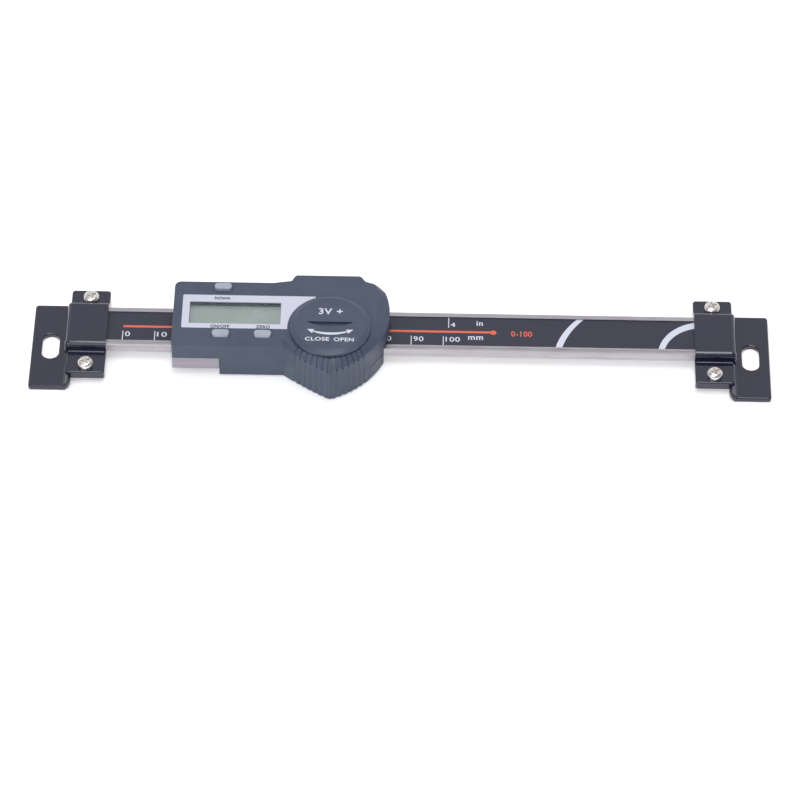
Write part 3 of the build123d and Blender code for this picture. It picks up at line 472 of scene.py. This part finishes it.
# The scale: marks every 10 mm at the front and every inch at the rear, some under the head
ZERO_X = -86.7
TICK = 0.28
MM_MARKS = range(0, 101, 10)
MM_TICK_ENDS = (-6.0, -1.9)
MM_WIDTHS = {1: 1.6, 2: 3.1, 3: 4.5}  # of a figure, by its number of digits
INCH_MARKS = range(1, 5)
INCH_TICK_ENDS = (1.7, 6.0)
INCH_WIDTHS = (0.5, 1.5, 1.5, 1.5)  # the 1 is narrow


def tick(x, front, rear):
    return bar(x - TICK / 2, front, x + TICK / 2, rear)


ticks = [tick(ZERO_X + mm, *MM_TICK_ENDS) for mm in MM_MARKS]
ticks += [tick(ZERO_X + INCH * inch, *INCH_TICK_ENDS) for inch in INCH_MARKS]
label.shapes("scale_ticks", ticks, white_ink)
for mm in MM_MARKS:
    x = ZERO_X + mm + 0.7
    width = MM_WIDTHS[len(str(mm))]
    label.words(f"scale_figure_{mm}", str(mm), x, -4.25, width, 2.05, 0.012, white_ink)
for inch, width in zip(INCH_MARKS, INCH_WIDTHS):
    x = ZERO_X + INCH * inch + 0.6
    label.words(f"scale_inch_{inch}", str(inch), x, 2.1, width, 1.9, 0.012, white_ink)
label.words("scale_unit_mm", "mm", 21.0, -3.3, 4.7, 1.6, 0.02, white_ink)
label.words("scale_unit_in", "in", 23.6, 2.8, 2.0, 2.0, 0.02, white_ink)

# Orange guide line ending in a dot, and the measuring range
LINE_START, LINE_END = -86.65, 28.9
LINE_HALF = 0.45
DOT_Y = -0.1
DOT_RADIUS = 0.95
DOT_SIDES = 32
line = bar(LINE_START, -LINE_HALF, LINE_END, LINE_HALF)
label.shapes("guide_line", [line], orange_ink)
dot = [polar(LINE_END, DOT_Y, DOT_RADIUS, 360 * k / DOT_SIDES) for k in range(DOT_SIDES)]
label.shapes("guide_dot", [dot], orange_ink, lift=PRINT)
label.words("range_text", "0-100", 34.4, -1.6, 6.6, 2.3, 0.015, orange_ink)

# Lettering on the bezel and the cap
bezel.words("bezel_in_mm", "in/mm", -58.1, 3.9, 4.8, 1.35, 0.03, dark_ink)
bezel.words("bezel_on_off", "ON/OFF", -58.9, -8.3, 5.9, 1.35, 0.03, dark_ink)
bezel.words("bezel_zero", "ZERO", -44.8, -8.3, 4.3, 1.35, 0.03, dark_ink)
cap.words("cap_voltage", "3V +", -25.5, -3.5, 7.5, 2.6, 0.02, white_ink)
cap.words("cap_close", "CLOSE", -29.4, -14.8, 7.5, 1.6, 0.025, white_ink)
cap.words("cap_open", "OPEN", -20.5, -14.9, 6.2, 1.6, 0.025, white_ink)

# Bent double arrow on the cap
FRONT = 270  # the direction of -y in degrees
ARROW_STEPS = 40
ARROW_END = 0.22  # half the thickness of the arrow's band at its ends
HEAD_OUTER = 0.95
HEAD_INNER = 0.9
HEAD_ANGLE = 7.5
HEAD_OVERLAP = 0.5


def bow(cx, cy, radius, thick, half_angle):
    """An arrow bent to the front: a band thickest in the middle, with a head at each end."""
    outer = []
    inner = []
    for k in range(ARROW_STEPS + 1):
        share = 2 * k / ARROW_STEPS - 1
        grow = ARROW_END + thick / 2 * (1 - share * share)
        angle = FRONT + half_angle * share
        outer.append(polar(cx, cy, radius + grow, angle))
        inner.append(polar(cx, cy, radius - grow, angle))
    heads = []
    for side in (-1, 1):
        end = FRONT + side * half_angle
        base = end - side * HEAD_OVERLAP
        heads.append(
            [
                polar(cx, cy, radius + HEAD_OUTER, base),
                polar(cx, cy, radius, end + side * HEAD_ANGLE),
                polar(cx, cy, radius - HEAD_INNER, base),
            ]
        )
    return [outer + inner[::-1], *heads]


cap.shapes("cap_arrow", bow(-21.7, 3.6, 15.3, 0.5, 20.5), white_ink)

# Pale sweeping stripes across the label
LABEL_EDGE = 6.05
STRIPE_STEPS = 24


def stripe(left_circle, right_circle, right_end=math.inf):
    """Between the left sides of two circles (centre x, centre y, radius), up to right_end."""
    left = []
    right = []
    for k in range(STRIPE_STEPS + 1):
        y = -LABEL_EDGE + 2 * LABEL_EDGE * k / STRIPE_STEPS
        for side, (cx, cy, radius) in ((left, left_circle), (right, right_circle)):
            x = cx - math.sqrt(max(0.0, radius**2 - (y - cy) ** 2))
            side.append((min(x, right_end), y))
    return left + right[::-1]


stripes = [
    stripe((74.61, -12.66, 27.17), (78.55, -13.8, 29.29)),
    stripe((94.97, -8.94, 14.96), (94.44, -9.23, 12.64), right_end=93.0),
]
label.shapes("label_stripes", stripes, blue_white_ink)


# ---------------------------------------------------------------- floor
FLOOR_DROP = 0.1 * MM  # keeps the floor clear of the feet's undersides
FLOOR_HALF = 3.0  # half its side, in metres
FLOOR_GLOW = 0.35  # keeps it near white
floor_mesh = bpy.data.meshes.new("floor")
form = bmesh.new()
bmesh.ops.create_grid(form, x_segments=1, y_segments=1, size=FLOOR_HALF)
form.to_mesh(floor_mesh)
form.free()
floor = bpy.data.objects.new("floor", floor_mesh)
bpy.context.scene.collection.objects.link(floor)
paper = Shader("pale_floor", 0.85)
paper.colour(paper.ramp(paper.noise(40.0), 0.93, 0.95))
paper.bsdf.inputs["Emission Color"].default_value = (1, 1, 1, 1)
paper.bsdf.inputs["Emission Strength"].default_value = FLOOR_GLOW
floor_mesh.materials.append(paper.material)
floor.location.z = -FLOOR_DROP


# ---------------------------------------------------------------- light
# The studio is bright behind the object, and dimmer overhead and in front of it
ROOM = (0.36, 0.37, 0.4)
WALL = (0.98, 0.98, 1.0)
STUDIO_STRENGTH = 0.8
world = bpy.data.worlds.new("studio")
world.use_nodes = True
sky = world.node_tree
direction = sky.nodes.new("ShaderNodeTexCoord")
split = sky.nodes.new("ShaderNodeSeparateXYZ")
fade = sky.nodes.new("ShaderNodeValToRGB")
set_ramp(fade, ROOM, WALL, dark_at=0.0, light_at=0.6)
sky.links.new(direction.outputs["Generated"], split.inputs["Vector"])
sky.links.new(split.outputs["Y"], fade.inputs["Fac"])
sky.links.new(fade.outputs["Color"], sky.nodes["Background"].inputs["Color"])
sky.nodes["Background"].inputs["Strength"].default_value = STUDIO_STRENGTH
bpy.context.scene.world = world


def softbox(name, place, size, power):
    """A rectangular light aimed at the origin. place and size are in metres, power in watts."""
    light = bpy.data.lights.new(name, "AREA")
    light.shape = "RECTANGLE"
    light.size, light.size_y = size
    light.energy = power
    lamp = bpy.data.objects.new(name, light)
    lamp.location = place
    lamp.rotation_mode = "QUATERNION"
    lamp.rotation_quaternion = (Vector((0, 0, 0)) - Vector(place)).to_track_quat("-Z", "Y")
    bpy.context.scene.collection.objects.link(lamp)


# A large light at the front left, and one overhead whose reflection lies on the level faces
softbox("key_light", (-0.6, -0.95, 1.0), (1.6, 1.1), 8)
softbox("top_light", (0.02, 0.0, 1.2), (0.8, 0.45), 6)


# ---------------------------------------------------------------- camera
# A long lens aimed at TARGET from the front, turned to the right, raised and slightly tilted
AZIMUTH = math.radians(0.685)
ELEVATION = math.radians(47.377)
ROLL = math.radians(0.4937)
TARGET = Vector((0.000244, -0.026345, 0.003))
DISTANCE = 1.33394
SENSOR_MM = 36.0
LENS_MM = 194.5
back = Vector(
    (
        math.sin(AZIMUTH) * math.cos(ELEVATION),
        -math.cos(AZIMUTH) * math.cos(ELEVATION),
        math.sin(ELEVATION),
    )
)
right = (-back).cross(Vector((0, 0, 1))).normalized()
up = right.cross(-back)
rolled_right = right * math.cos(ROLL) + up * math.sin(ROLL)
rolled_up = -right * math.sin(ROLL) + up * math.cos(ROLL)
turned = Matrix((rolled_right, rolled_up, back)).transposed().to_4x4()

camera_data = bpy.data.cameras.new("camera")
camera_data.sensor_width = SENSOR_MM
camera_data.lens = LENS_MM
camera_data.clip_end = 20.0
camera = bpy.data.objects.new("camera", camera_data)
camera.matrix_world = Matrix.Translation(TARGET + back * DISTANCE) @ turned
bpy.context.scene.collection.objects.link(camera)
bpy.context.scene.camera = camera
bpy.context.scene.view_settings.view_transform = "Standard"
